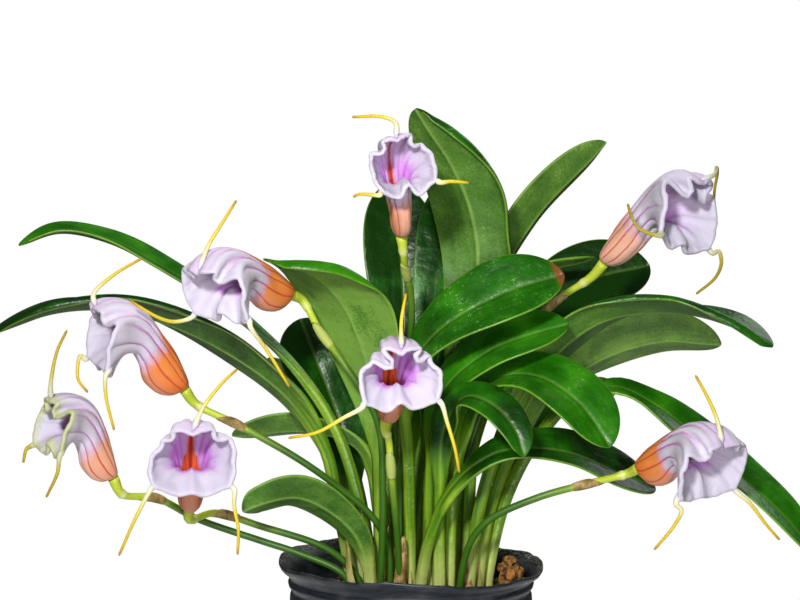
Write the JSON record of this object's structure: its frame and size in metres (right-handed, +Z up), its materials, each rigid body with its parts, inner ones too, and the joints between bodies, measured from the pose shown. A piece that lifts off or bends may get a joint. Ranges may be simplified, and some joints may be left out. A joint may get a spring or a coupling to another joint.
{
  "type": "potted masdevallia orchid",
  "caption": "Flowering masdevallia orchid in a nursery pot: leathery leaves on long stalks, and tubular three-tailed blooms, each on a slim stem.",
  "frame": {"origin": "middle of the pot's flat foot, on the surface that it stands on", "axes": "+Z up along the pot's axis; -Y is the side where most blooms open, and the leaves spread widest along X"},
  "size_m": [0.2937, 0.1808, 0.2454],
  "materials": {
    "pot_plastic": "thin black moulded plastic, satin, a little dusty",
    "bark_mix": "crumbled bark and moss, rough and dull",
    "leaf_skin": "leathery leaf, glossy dark green above and pale matt green below",
    "bloom_tissue": "soft sepal tissue, white and lilac with an orange tube and yellow tails",
    "stem_skin": "smooth green stem, yellow-green at the bloom"
  },
  "bodies": {
    "root": {"nursery_pot": "pot_plastic", "potting_mix": "bark_mix", "leaf_01_tall": "leaf_skin", "leaf_02_upper_right": "leaf_skin", "leaf_03_back_left": "leaf_skin", "leaf_04_back_middle": "leaf_skin", "leaf_05_left_broad": "leaf_skin", "leaf_06_far_left_high": "leaf_skin", "leaf_07_far_left_low": "leaf_skin", "leaf_08_left_level": "leaf_skin", "leaf_09_lower_left": "leaf_skin", "leaf_10_front_glossy": "leaf_skin", "leaf_11_front_bright": "leaf_skin", "leaf_12_front_right": "leaf_skin", "leaf_13_front_short": "leaf_skin", "leaf_14_far_right_high": "leaf_skin", "leaf_15_far_right_low": "leaf_skin", "leaf_16_back_round": "leaf_skin", "leaf_17_back_right": "leaf_skin", "leaf_18_long_right": "leaf_skin", "leaf_19_lower_right": "leaf_skin", "leaf_20_rear": "leaf_skin", "leaf_21_rear": "leaf_skin", "leaf_22_rear": "leaf_skin", "leaf_23_rear": "leaf_skin", "leaf_24_rear": "leaf_skin", "leaf_25_rear": "leaf_skin", "bloom_1_top": "bloom_tissue", "stem_1_top": "stem_skin", "bloom_2_left_upper": "bloom_tissue", "stem_2_left_upper": "stem_skin", "bloom_3_left_middle": "bloom_tissue", "stem_3_left_middle": "stem_skin", "bloom_4_far_left": "bloom_tissue", "stem_4_far_left": "stem_skin", "bloom_5_left_lower": "bloom_tissue", "stem_5_left_lower": "stem_skin", "bloom_6_front": "bloom_tissue", "stem_6_front": "stem_skin", "bloom_7_right_upper": "bloom_tissue", "stem_7_right_upper": "stem_skin", "bloom_8_right_lower": "bloom_tissue", "stem_8_right_lower": "stem_skin"}
  },
  "joints": []
}
